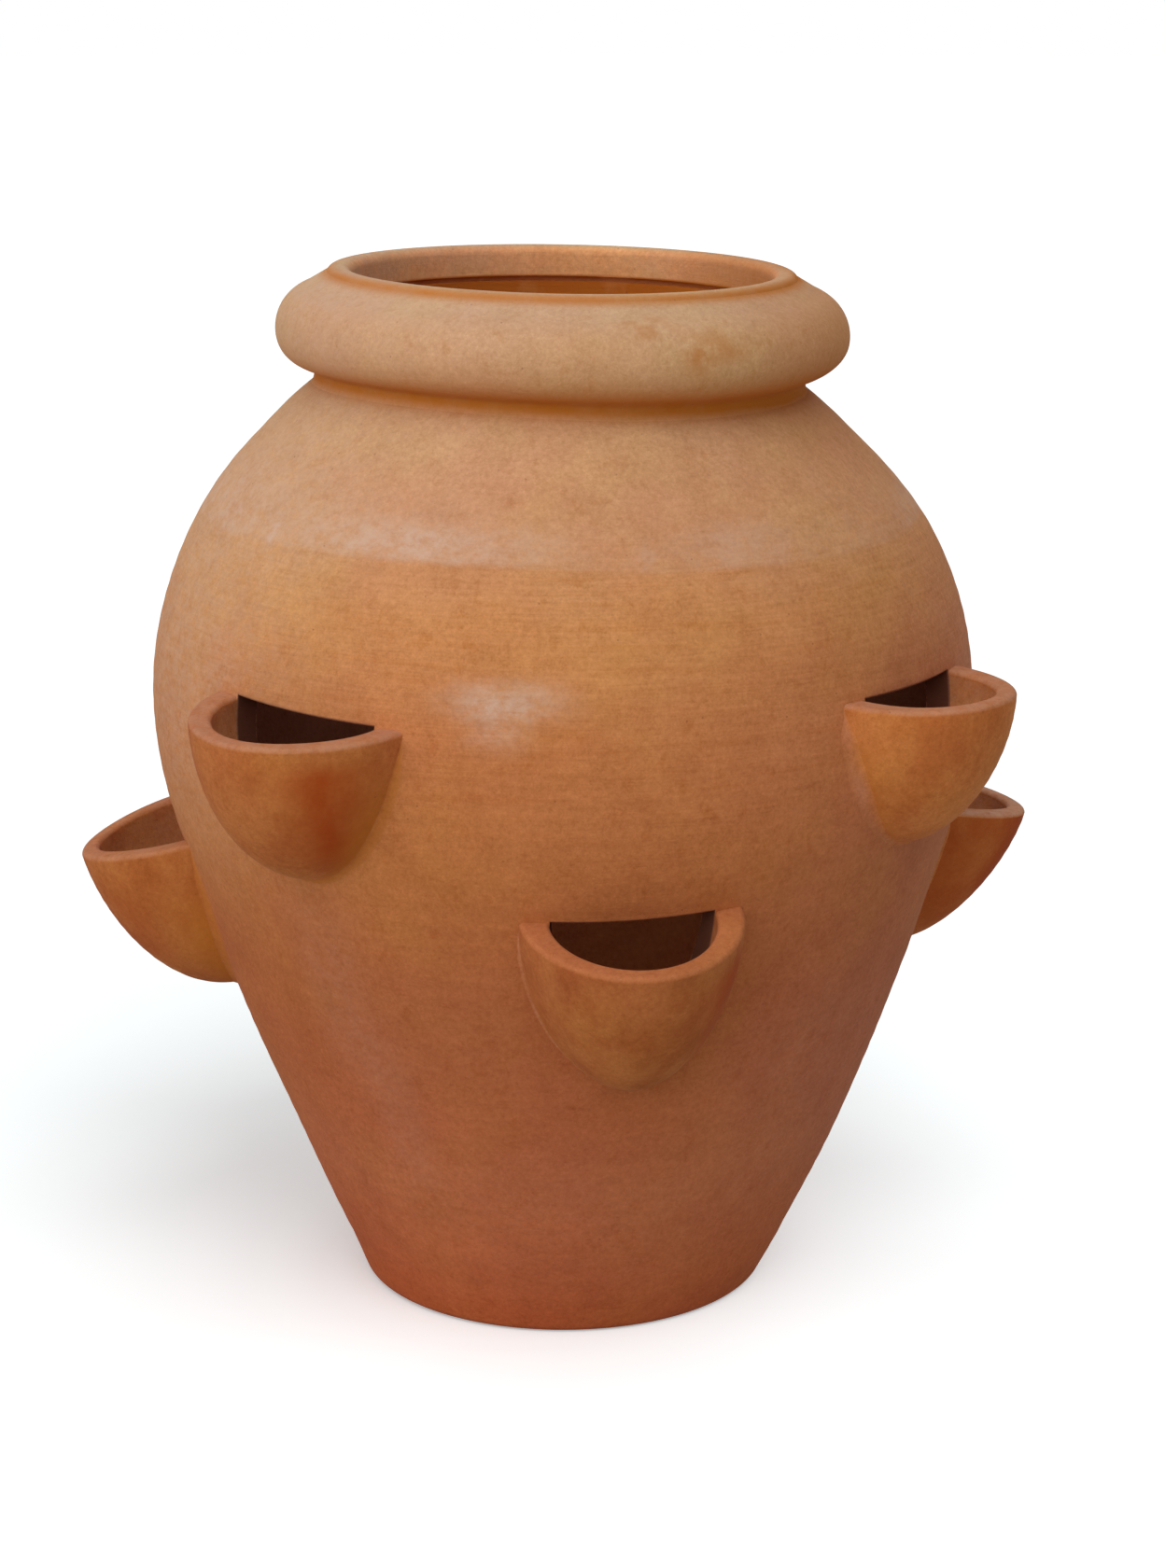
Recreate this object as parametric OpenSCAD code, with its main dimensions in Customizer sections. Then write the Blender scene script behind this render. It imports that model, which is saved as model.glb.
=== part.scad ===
// Terracotta jar with planting pockets, thrown in rings and luted together.
// Millimetres, +Z up, origin under the drain hole on the ground, first lower pocket towards -Y.

/* [Body] */
// Radius of the foot where the wall line reaches the ground
foot_r = 118; // [105:1:135]
// Radius of the rounded edge under the foot
foot_round = 9; // [4:1:14]
// Largest radius of the belly
belly_r = 238; // [225:1:255]
// Height of the widest ring of the belly
belly_z = 353; // [335:1:385]
// Radius of the arc that draws the belly and the shoulder
shoulder_arc_r = 212; // [195:1:225]
// Angle below the widest ring where the belly runs into the lower wall
belly_turn = 16; // [12:1:20]
// Thickness of the thrown wall
wall_t = 14; // [9:0.5:18]
// Thickness of the floor disc
floor_t = 18; // [12:1:26]
// Diameter of the drain hole in the floor
drain_d = 28; // [16:1:40]

/* [Rings] */
// How far the joint over the foot ring lies below the lower pockets
foot_ring_drop = 16; // [10:1:50]
// How far the joint over the lower pocket ring lies above the lips of its pockets
low_ring_rise = 8.5; // [7:0.5:12]
// How far the joint over the belly ring lies above the lips of its pockets
belly_ring_rise = 78; // [45:1:90]
// Width of the tongue on the top edge of a ring
tongue_w = 6; // [3:0.5:8]
// Height of the tongue
tongue_h = 5; // [3:0.5:8]
// Room left for slip between a tongue and its groove
slip_gap = 0.5; // [0.2:0.1:1]

/* [Rim] */
// Outer radius of the neck inside the collar
neck_r = 133.5; // [120:0.5:150]
// Height of the rolled collar between its two creases
collar_h = 58.3; // [50:0.1:75]
// How far the collar stands out from the neck
collar_out = 29.5; // [18:0.5:34]
// Radius of the collar's round nose
collar_nose_r = 26; // [18:0.5:28]
// How far the lip stands above the collar
lip_rise = 6; // [3:0.5:8]
// Height of the lip ring
lip_h = 21; // [14:0.5:30]
// Rounding of the lip's edges
lip_round = 5; // [1:0.5:6]
// Groove left at the joint under the lip, inside the mouth
lip_groove = 3; // [1:0.5:4]

/* [Pockets] */
// Outer radius of a pocket at its lip
pocket_r = 62; // [50:0.5:68]
// How far the middle of a pocket is set out from the line between the ends of its lip
pocket_out = 2; // [0:0.5:8]
// Thickness of a pocket's wall beside its window
pocket_t = 16; // [9:0.5:18]
// Thickness of a pocket's wall at the front of its lip
pocket_front_t = 11; // [8:0.5:16]
// Rounding of a pocket's lip
pocket_round = 3; // [1.5:0.5:4]
// Fullness of a pocket's curve, 1 for a cone and 2 for an ellipse
pocket_full = 1.85; // [1.6:0.05:2.2]
// Height where the lips of the lower pockets meet the wall
low_z = 282; // [250:1:315]
// How much higher each lower pocket was set than its tier
low_lift = [0, 1, 0, -2.5]; // [-4:0.5:4]
// Lean of each lower pocket away from the pot
low_tilt = [15.5, 9, 16, 15.5]; // [0:0.5:24]
// Depth of the lower pockets
low_depth = 104; // [90:1:112]
// How much deeper each lower cup was thrown than the usual depth
low_deep = [2, -10, 0, 0]; // [-12:1:8]
// How much fuller the curve of each lower cup is than the usual one
low_fuller = [0, -0.4, 0, 0.1]; // [-0.5:0.05:0.3]
// How far the lips of the upper pockets lie above those of the lower pockets
tier_rise = 105; // [98:1:125]
// How much higher each upper pocket was set than its tier
high_lift = [2.5, 0, 0, -2]; // [-4:0.5:4]
// Lean of each upper pocket away from the pot
high_tilt = [1, 7, 6, 5]; // [-4:0.5:12]
// Depth of the upper pockets
high_depth = 89; // [75:1:95]
// How much deeper each upper cup was thrown than the usual depth
high_deep = [0, -2, 1, 4]; // [-12:1:8]
// How much fuller the curve of each upper cup is than the usual one
high_fuller = [0, 0.05, 0, 0.1]; // [-0.5:0.05:0.3]
// Turn of the upper tier from the lower tier
stagger = 45; // [35:1:55]
// How far each lower pocket was set from its even place by hand
low_turn = [0, 3, 0, -9]; // [-9:1:9]
// How far each upper pocket was set from its even place by hand
high_turn = [0, 1, 0, -1]; // [-9:1:9]
// How much wider each lower cup was thrown than the usual radius
low_grow = [-1, 3, 0, 8]; // [-8:0.5:8]
// How much wider each upper cup was thrown than the usual radius
high_grow = [-1, 1, 0, 1.5]; // [-8:0.5:8]
// How far each lower pocket was turned on the wall by hand
low_roll = [-1.5, 2.5, 1, 0]; // [-5:0.5:5]
// How far each upper pocket was turned on the wall by hand
high_roll = [0, -1, 0, 2]; // [-5:0.5:5]
// Width of the clay seam pressed along a pocket, at the ends of its lip
seam_w = 8; // [4:0.5:11]
// Width of the seam under the pocket
seam_foot_w = 4; // [2:0.5:6]
// Height of the seam on the wall
seam_h = 5; // [3:0.5:9]

/* [Hidden] */

// Fineness of the revolves, of the two arcs of the wall and of the rounded edges
$fn = 144;
wall_arc_fn = 1440;
round_steps = 6;
nose_steps = 16;

// The wall is two arcs that run into each other: points are [radius, height].
// The belly arc stands on the belly, and the long lower arc meets it and the foot.
belly_c = [belly_r - shoulder_arc_r, belly_z];
turn_n = [cos(belly_turn), -sin(belly_turn)];
turn_p = belly_c + shoulder_arc_r * turn_n;
foot_p = [foot_r, 0];
rise = turn_p - foot_p;
low_arc_r = rise * rise / (2 * rise * turn_n);
low_c = turn_p - low_arc_r * turn_n;
foot_n = (foot_p - low_c) / low_arc_r;

// Radius of the wall at a height, moved out by grow or in by a negative grow
function split_z(grow) = turn_p.y + grow * turn_n.y;
function arc_r(c, r, z) = c.x + sqrt(r * r - pow(z - c.y, 2));
function wall_r(z, grow = 0) = z > split_z(grow)
    ? arc_r(belly_c, shoulder_arc_r + grow, z)
    : arc_r(low_c, low_arc_r + grow, z);
function middle_r(z) = (wall_r(z) + wall_r(z, -wall_t)) / 2;

// The rim stacks up from the crease where the shoulder meets the neck.
mouth_r = neck_r - wall_t;
neck_z = belly_z + sqrt(pow(shoulder_arc_r, 2) - pow(neck_r - belly_c.x, 2));
collar_top_z = neck_z + collar_h;
pot_h = collar_top_z + lip_rise;
lip_z = pot_h - lip_h;
lip_edge = min(lip_round, 0.45 * wall_t);
reach = belly_r + pot_h;

// Pockets, one turn apart by the count in a tier
tier_count = 4;
cup_steps = 14;
cup_end = 84;
high_z = low_z + tier_rise;
tier = [0 : tier_count - 1];
low_az = [for (i = tier) i * 360 / tier_count + low_turn[i]];
high_az = [for (i = tier) i * 360 / tier_count + stagger + high_turn[i]];
low_r = [for (i = tier) pocket_r + low_grow[i]];
high_r = [for (i = tier) pocket_r + high_grow[i]];
low_d = [for (i = tier) low_depth + low_deep[i]];
high_d = [for (i = tier) high_depth + high_deep[i]];
low_lip_z = [for (i = tier) low_z + low_lift[i]];
high_lip_z = [for (i = tier) high_z + high_lift[i]];
low_full = [for (i = tier) pocket_full + low_fuller[i]];
high_full = [for (i = tier) pocket_full + high_fuller[i]];

// A cup's hollow is set out from its middle, so that the wall is thinner in front than beside the window.
hollow_out = pocket_t - pocket_front_t;

// The rings are joined clear of the pockets and their windows.
foot_ring_z = low_z + min(low_lift - low_d) - foot_ring_drop;
low_ring_z = low_z + max(low_lift) + low_ring_rise;
belly_ring_z = high_z + belly_ring_rise;

light_clay = [0.80, 0.60, 0.43];
wall_clay = [0.74, 0.49, 0.31];
foot_clay = [0.62, 0.36, 0.23];
pocket_clay = [0.72, 0.43, 0.25];
seam_clay = [0.79, 0.55, 0.40];

// Half section of the filled pot up to the shoulder
module pot_half(grow = 0) {
    intersection() {
        translate(belly_c) circle(r = shoulder_arc_r + grow, $fn = wall_arc_fn);
        translate([0, split_z(grow)]) square(reach);
    }
    intersection() {
        translate(low_c) circle(r = low_arc_r + grow, $fn = wall_arc_fn);
        square([reach, split_z(grow)]);
    }
}

module pot_solid(grow = 0) {
    rotate_extrude() pot_half(grow);
}

// Edge of a joint at height z: a tongue of height h in the middle of the wall
function tongue_edge(r, z, w, h) = [
    [r - w / 2, z],
    [r - w / 4, z + h],
    [r + w / 4, z + h],
    [r + w / 2, z]
];
function tongue(r, z) = tongue_edge(r, z, tongue_w, tongue_h);
function groove(r, z) = tongue_edge(r, z, tongue_w + 2 * slip_gap, tongue_h + slip_gap);

// The first ring is keyed down into the floor disc, so that the floor stays flat inside.
function floor_tongue(r) = tongue_edge(r, floor_t, tongue_w, -tongue_h);
function floor_groove(r) = tongue_edge(r, floor_t, tongue_w + 2 * slip_gap, -tongue_h - slip_gap);

// Region between the lower edge and the upper edge of a ring
module ring_band(low_edge, high_edge) {
    from_z = low_edge[0].y;
    to_z = high_edge[0].y;
    polygon(concat(
        [[0, from_z]],
        low_edge,
        [[reach, from_z], [reach, to_z]],
        reverse(high_edge),
        [[0, to_z]]
    ));
}

// Section of a thrown ring between two joints
module ring_half(low_edge, high_edge) {
    intersection() {
        difference() {
            pot_half();
            pot_half(-wall_t);
        }
        ring_band(low_edge, high_edge);
    }
}

// Curve of a thrown cup, from its lip at height 0 down to the flat under it
function cup_curve(r, depth, full) = [
    for (i = [0 : cup_steps])
        let (t = cup_end * i / cup_steps)
            [r * pow(cos(t), 2 / full), -depth * pow(sin(t), 2 / full)]
];
function cup_floor(depth, full) = -depth * pow(sin(cup_end), 2 / full);
function below(points, z) = [for (p = points) if (p.y < z) p];
function reverse(points) = [for (i = [len(points) - 1 : -1 : 0]) points[i]];
function arc_points(c, r, from_a, to_a, steps = round_steps) = [
    for (i = [0 : steps])
        let (a = from_a + (to_a - from_a) * i / steps)
            c + r * [cos(a), sin(a)]
];

// A filled cup, up to the plane of its lip
module cup_solid(r, depth, full) {
    rotate_extrude()
        polygon(concat([[0, 0]], cup_curve(r, depth, full), [[0, cup_floor(depth, full)]]));
}

// A filled cup with the outer edge of its lip rounded
module cup_body(r, depth, full) {
    rotate_extrude() polygon(concat(
        [[0, 0]],
        arc_points([r - pocket_round, -pocket_round], pocket_round, 90, 0),
        below(cup_curve(r, depth, full), -pocket_round),
        [[0, cup_floor(depth, full)]]
    ));
}

// The hollow of a cup, flared by the rounded inner edge of its lip
module cup_hollow(r, depth, full) {
    edge_r = r + pocket_round;
    translate([0, -hollow_out, 0]) rotate_extrude() polygon(concat(
        [[0, pocket_round], [edge_r, pocket_round]],
        arc_points([edge_r, -pocket_round], pocket_round, 90, 180),
        below(cup_curve(r, depth, full), -pocket_round),
        [[0, cup_floor(depth, full)]]
    ));
}

// Places a cup so that the two ends of its lip lie on the wall at height z
module on_wall(az, z, tilt, roll, r) {
    chord_r = sqrt(pow(wall_r(z), 2) - pow(r, 2));
    rotate([0, 0, az]) translate([0, -chord_r, z]) rotate([tilt, roll, 0])
        translate([0, -pocket_out, 0]) children();
}

// A window behind a pocket goes on into the wall as the cup's own hollow.
module window(az, z, tilt, roll, r, depth, full) {
    on_wall(az, z, tilt, roll, r) translate([0, -hollow_out, 0])
        cup_solid(r - pocket_t, depth - pocket_t, full);
}

module windows() {
    for (i = tier) {
        window(low_az[i], low_lip_z[i], low_tilt[i], low_roll[i], low_r[i], low_d[i], low_full[i]);
        window(high_az[i], high_lip_z[i], high_tilt[i], high_roll[i], high_r[i], high_d[i], high_full[i]);
    }
}

// Section left outside the rounded edge of the foot
module foot_corner() {
    c = [foot_r - foot_round * (1 + foot_n.y) / foot_n.x, foot_round];
    polygon(concat(
        [[c.x, -foot_round]],
        arc_points(c, foot_round, -90, atan2(foot_n.y, foot_n.x)),
        [c + 2 * foot_round * foot_n, [foot_r + foot_round, -foot_round]]
    ));
}

module floor_disc() {
    color(foot_clay) rotate_extrude() difference() {
        intersection() {
            pot_half();
            polygon(concat(
                [[drain_d / 2, 0], [reach, 0], [reach, floor_t]],
                reverse(floor_groove(middle_r(floor_t))),
                [[drain_d / 2, floor_t]]
            ));
        }
        foot_corner();
    }
}

module wall_foot() {
    color(foot_clay) difference() {
        rotate_extrude() ring_half(
            floor_tongue(middle_r(floor_t)),
            tongue(middle_r(foot_ring_z), foot_ring_z)
        );
        windows();
    }
}

module wall_low() {
    color(wall_clay) difference() {
        rotate_extrude() ring_half(
            groove(middle_r(foot_ring_z), foot_ring_z),
            tongue(middle_r(low_ring_z), low_ring_z)
        );
        windows();
    }
}

module wall_belly() {
    color(wall_clay) difference() {
        rotate_extrude() ring_half(
            groove(middle_r(low_ring_z), low_ring_z),
            tongue(middle_r(belly_ring_z), belly_ring_z)
        );
        windows();
    }
}

// The shoulder ring ends in the upright neck.
module wall_shoulder() {
    color(light_clay) rotate_extrude() difference() {
        intersection() {
            union() {
                pot_half();
                square([neck_r, pot_h]);
            }
            ring_band(
                groove(middle_r(belly_ring_z), belly_ring_z),
                tongue(neck_r - wall_t / 2, lip_z)
            );
        }
        pot_half(-wall_t);
        square([mouth_r, pot_h]);
    }
}

// The rolled collar: a round nose with flanks that run tangent to it from both creases
module rim_collar() {
    c = [neck_r + collar_out - collar_nose_r, neck_z + collar_h / 2];
    crease = [neck_r, neck_z] - c;
    flank_a = atan2(crease.y, crease.x) + acos(collar_nose_r / norm(crease));
    color(light_clay) rotate_extrude() difference() {
        polygon(concat(
            [[neck_r, neck_z]],
            arc_points(c, collar_nose_r, flank_a, -flank_a, nose_steps),
            [[neck_r, collar_top_z]]
        ));
        pot_half();
    }
}

// The lip ring sits on the neck, inside the collar.
module rim_lip() {
    color(light_clay) rotate_extrude() difference() {
        polygon(concat(
            [[neck_r, lip_z], [mouth_r + lip_groove, lip_z], [mouth_r, lip_z + lip_groove]],
            arc_points([mouth_r + lip_edge, pot_h - lip_edge], lip_edge, 180, 90),
            arc_points([neck_r - lip_edge, pot_h - lip_edge], lip_edge, 90, 0)
        ));
        polygon(groove(neck_r - wall_t / 2, lip_z));
    }
}

// A pocket is a thrown cup, cut to the outside of the wall and luted over its window.
module pocket(az, z, tilt, roll, r, depth, full) {
    color(pocket_clay) difference() {
        on_wall(az, z, tilt, roll, r) difference() {
            cup_body(r, depth, full);
            cup_hollow(r - pocket_t, depth - pocket_t, full);
        }
        pot_solid();
    }
}

// A strip of soft clay pressed into the corner between a pocket and the wall
module seam(az, z, tilt, roll, r, depth, full) {
    color(seam_clay) intersection() {
        on_wall(az, z, tilt, roll, r) rotate_extrude() polygon(concat(
            cup_curve(r + seam_w, depth + seam_foot_w, full),
            [[0, cup_floor(depth + seam_foot_w, full)], [0, cup_floor(depth, full)]],
            reverse(cup_curve(r, depth, full))
        ));
        rotate_extrude() difference() {
            pot_half(seam_h);
            pot_half();
        }
    }
}

module pocket_low(i) {
    pocket(low_az[i], low_lip_z[i], low_tilt[i], low_roll[i], low_r[i], low_d[i], low_full[i]);
}

module pocket_high(i) {
    pocket(high_az[i], high_lip_z[i], high_tilt[i], high_roll[i], high_r[i], high_d[i], high_full[i]);
}

module seam_low(i) {
    seam(low_az[i], low_lip_z[i], low_tilt[i], low_roll[i], low_r[i], low_d[i], low_full[i]);
}

module seam_high(i) {
    seam(high_az[i], high_lip_z[i], high_tilt[i], high_roll[i], high_r[i], high_d[i], high_full[i]);
}

floor_disc();
wall_foot();
wall_low();
wall_belly();
wall_shoulder();
rim_collar();
rim_lip();
for (i = tier) {
    pocket_low(i);
    pocket_high(i);
    seam_low(i);
    seam_high(i);
}
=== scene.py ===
import math

import bmesh
import bpy
import numpy as np
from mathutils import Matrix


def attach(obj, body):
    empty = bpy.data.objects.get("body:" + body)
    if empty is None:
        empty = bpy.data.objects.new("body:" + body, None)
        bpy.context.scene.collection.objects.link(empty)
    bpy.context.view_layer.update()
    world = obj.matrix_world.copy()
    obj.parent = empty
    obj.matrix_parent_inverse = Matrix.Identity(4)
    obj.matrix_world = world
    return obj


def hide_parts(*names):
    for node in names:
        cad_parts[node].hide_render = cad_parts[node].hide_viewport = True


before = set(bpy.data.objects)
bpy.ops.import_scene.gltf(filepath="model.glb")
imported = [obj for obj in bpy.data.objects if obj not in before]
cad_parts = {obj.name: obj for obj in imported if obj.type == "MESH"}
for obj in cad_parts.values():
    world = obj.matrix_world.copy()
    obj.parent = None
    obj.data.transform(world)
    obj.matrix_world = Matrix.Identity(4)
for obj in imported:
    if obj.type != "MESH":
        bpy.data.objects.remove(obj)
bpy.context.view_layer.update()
print("stage: frame loaded")

# Camera

photoCamera = dict(
    azimuth=-9.6,  # degrees, negative is towards the pot's left
    distance=2.0,  # metres from the pot's axis
    height=0.82145,
    pitch=14.69,  # degrees downwards
    lens=80.52, sensor=36,
    shiftX=0.0123, far=100,
)


def newObject(name, data):
    made = bpy.data.objects.new(name, data)
    bpy.context.scene.collection.objects.link(made)
    return made


def setCamera(view):
    turn = math.radians(view["azimuth"])
    data = bpy.data.cameras.new("photoCamera")
    data.sensor_width = view["sensor"]
    data.lens = view["lens"]
    data.shift_x = view["shiftX"]
    data.clip_end = view["far"]
    camera = newObject("photoCamera", data)
    camera.location = (math.sin(turn) * view["distance"], -math.cos(turn) * view["distance"], view["height"])
    camera.rotation_euler = (math.radians(90 - view["pitch"]), 0, turn)
    bpy.context.scene.camera = camera


setCamera(photoCamera)
print("stage: camera set")

# Thrown body: sizes in metres, the same as the solids

body = dict(
    footR=0.118, footRound=0.009, bellyR=0.238, bellyZ=0.353, arcR=0.212, turn=16.0,
    wall=0.014, floorT=0.018, drainR=0.014,
    footRingZ=0.1595, lowRingZ=0.2915, bellyRingZ=0.465,
)
rim = dict(
    neckR=0.1335, collarH=0.0583, collarOut=0.0295, noseR=0.026,
    lipRise=0.006, lipH=0.021, lipRound=0.005, lipGroove=0.003,
    creaseLift=0.0036, creaseMore=0.0040,  # the crease under the collar was pressed up, and more
    creaseTurn=-50.0,  # round this turn
    creaseFill=0.010,  # soft clay fills it out to this far from the neck
    flankUp=0.0030,  # the collar's upper flank was smeared this far up the lip
)

bellyC = np.array([body["bellyR"] - body["arcR"], body["bellyZ"]])
turnN = np.array([math.cos(math.radians(body["turn"])), -math.sin(math.radians(body["turn"]))])
turnP = bellyC + body["arcR"] * turnN
footP = np.array([body["footR"], 0.0])
footRise = turnP - footP
lowArcR = footRise @ footRise / (2 * footRise @ turnN)
lowC = turnP - lowArcR * turnN
neckZ = body["bellyZ"] + math.sqrt(body["arcR"] ** 2 - (rim["neckR"] - bellyC[0]) ** 2)
collarTopZ = neckZ + rim["collarH"]
potH = collarTopZ + rim["lipRise"]
lipZ = potH - rim["lipH"]
neckR = rim["neckR"]
mouthR = neckR - body["wall"]


# two arcs that run into each other: the belly's above the turn, the long lower one below it
def wallRadius(z, grow=0.0):
    upper = bellyC[0] + np.sqrt(np.maximum((body["arcR"] + grow) ** 2 - (z - bellyC[1]) ** 2, 0))
    lower = lowC[0] + np.sqrt((lowArcR + grow) ** 2 - (z - lowC[1]) ** 2)
    return np.where(z > turnP[1] + grow * turnN[1], upper, lower)


def smoothStep(low, high, x):
    k = np.clip((x - low) / (high - low), 0, 1)
    return k * k * (3 - 2 * k)


# rises from the first height to the second and falls from the third to the fourth
def between(span, z):
    return smoothStep(span[0], span[1], z) * smoothStep(span[3], span[2], z)


# turn from the front, distance from the axis and height of points, and back
def polar(points):
    return np.arctan2(points[:, 0], -points[:, 1]), np.hypot(points[:, 0], points[:, 1]), points[:, 2]


def fromPolar(az, radius, z):
    return np.stack(np.broadcast_arrays(radius * np.sin(az), -radius * np.cos(az), z), -1)


# a quadratic curve from a to c, drawn towards b
def bow(a, b, c, q):
    return (1 - q) ** 2 * a + 2 * q * (1 - q) * b + q ** 2 * c


# Hand-made unevenness

hand = dict(
    oval=0.0006, lobes=0.0005, sway=0.0004,  # slow waves of the radius
    lean=0.018,  # slope of the rim, down to the right
    drift=0.0018,  # the lower wall stands this far to the right
    rightTurn=1.40,  # the right-hand side, as a turn in radians
    flatShoulder=0.0040, fullFoot=0.0026,  # that side is flatter at the shoulder and fuller below
    shoulderSpan=(0.45, 0.52, 0.53, 0.56), footSpan=(0.02, 0.10, 0.20, 0.30),
    driftSpan=(0.0, 0.03, 0.10, 0.20),
    ridge=0.00011, ridgePitch=0.0125,  # finger ridges left by throwing
)
rightward = (math.sin(hand["rightTurn"]), -math.cos(hand["rightTurn"]))


# a thrown pot is never quite round: the radius moves by slow cosines of the angle and the height, one side is
# flatter above and fuller below, and the rim slopes by an amount that grows with the square of the height
def byHand(points):
    x, y = points[:, 0], points[:, 1]
    az, radius, z = polar(points)
    move = hand["oval"] * np.cos(2 * az + 0.9 + 4 * z)
    move = move + hand["lobes"] * np.cos(3 * az - 0.7 + 11 * z)
    move = move + hand["sway"] * np.cos(az * 5 + 2.1 - 23 * z) * np.sin(31 * z + 0.4)
    side = np.maximum(np.cos(az - hand["rightTurn"]), 0) ** 2
    move = move - hand["flatShoulder"] * side * between(hand["shoulderSpan"], z)
    move = move + hand["fullFoot"] * side * between(hand["footSpan"], z)
    move = move * np.clip(radius / 0.1, 0, 1) * smoothStep(0.0, 0.05, z)
    drift = hand["drift"] * between(hand["driftSpan"], z)
    rise = -hand["lean"] * (rightward[0] * x + rightward[1] * y)
    x = x + move * np.sin(az) + drift * rightward[0]
    y = y - move * np.cos(az) + drift * rightward[1]
    return np.stack([x, y, z + rise * (z / potH) ** 2], -1)


# finger ridges climb the wall's outer face as one long spiral whose depth comes and goes
def ridged(points, outer):
    az, _, z = polar(points)
    phase = 2 * np.pi * z / hand["ridgePitch"] - az + 1.3 * np.sin(2 * np.pi * z / 0.083 + 0.5 * np.sin(az))
    depth = 0.45 + 0.55 * np.sin(2 * np.pi * z / 0.127 + 0.8 * np.sin(az + 1.0)) ** 2
    return points + fromPolar(az, hand["ridge"] * depth * np.sin(phase) * outer, 0.0)


# Mesh helpers


# quads of a grid of rows and columns, one row after another; closing joins the last to the first
def gridQuads(rows, cols, closeRows=False, closeCols=False, first=0):
    r, c = np.meshgrid(np.arange(rows - 1 + closeRows), np.arange(cols - 1 + closeCols), indexing="ij")
    r2, c2 = (r + 1) % rows, (c + 1) % cols
    quads = np.stack([r * cols + c, r * cols + c2, r2 * cols + c2, r2 * cols + c], -1)
    return quads.reshape(-1, 4) + first


# bisection on whole arrays: test is positive at low and negative at high
def halfway(test, low, high, rounds=46):
    for _ in range(rounds):
        mid = (low + high) / 2
        ahead = test(mid) > 0
        low = np.where(ahead, mid, low)
        high = np.where(ahead, high, mid)
    return (low + high) / 2


# points spread evenly by length along a run of points
def evenAlong(points, count):
    step = np.linalg.norm(np.diff(points, axis=0), axis=1)
    length = np.concatenate([[0], np.cumsum(step)])
    want = np.linspace(0, length[-1], count)
    return np.stack([np.interp(want, length, points[:, k]) for k in range(points.shape[1])], -1)


# points and quads become a smooth mesh: doubles are merged, and then the faces are turned outwards
def makeObject(name, points, quads, finish, marks=None, sharpDeg=38, ending=""):
    mesh = bpy.data.meshes.new(name)
    mesh.vertices.add(len(points))
    mesh.vertices.foreach_set("co", points.astype(np.float32).ravel())
    mesh.loops.add(quads.size)
    mesh.polygons.add(len(quads))
    mesh.polygons.foreach_set("loop_start", np.arange(0, quads.size, 4, dtype=np.int32))
    mesh.polygons.foreach_set("vertices", quads.astype(np.int32).ravel())
    mesh.update(calc_edges=True)
    for label, values in (marks or {}).items():
        layer = mesh.attributes.new(label, "FLOAT", "POINT")  # masks for the finish, one value a point
        layer.data.foreach_set("value", values.astype(np.float32).ravel())
    work = bmesh.new()
    work.from_mesh(mesh)
    bmesh.ops.remove_doubles(work, verts=work.verts, dist=2e-6)
    bmesh.ops.dissolve_degenerate(work, edges=work.edges, dist=1e-7)
    bmesh.ops.recalc_face_normals(work, faces=work.faces)
    openEdges = sum(1 for e in work.edges if not e.is_manifold)
    work.to_mesh(mesh)
    work.free()
    mesh.polygons.foreach_set("use_smooth", np.ones(len(mesh.polygons), dtype=bool))
    mesh.set_sharp_from_angle(angle=math.radians(sharpDeg))
    mesh.materials.append(finish)
    print(f"  {name}: {len(mesh.polygons)} faces, {openEdges} open edges")
    return newObject(name + ending, mesh)


def addPiece(node, points, quads, finish, marks, sharpDeg=38):
    piece = makeObject(node, points, quads, finish, marks, sharpDeg, "Clay")
    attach(piece, "root")
    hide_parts(node)


# Clay finishes

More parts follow.
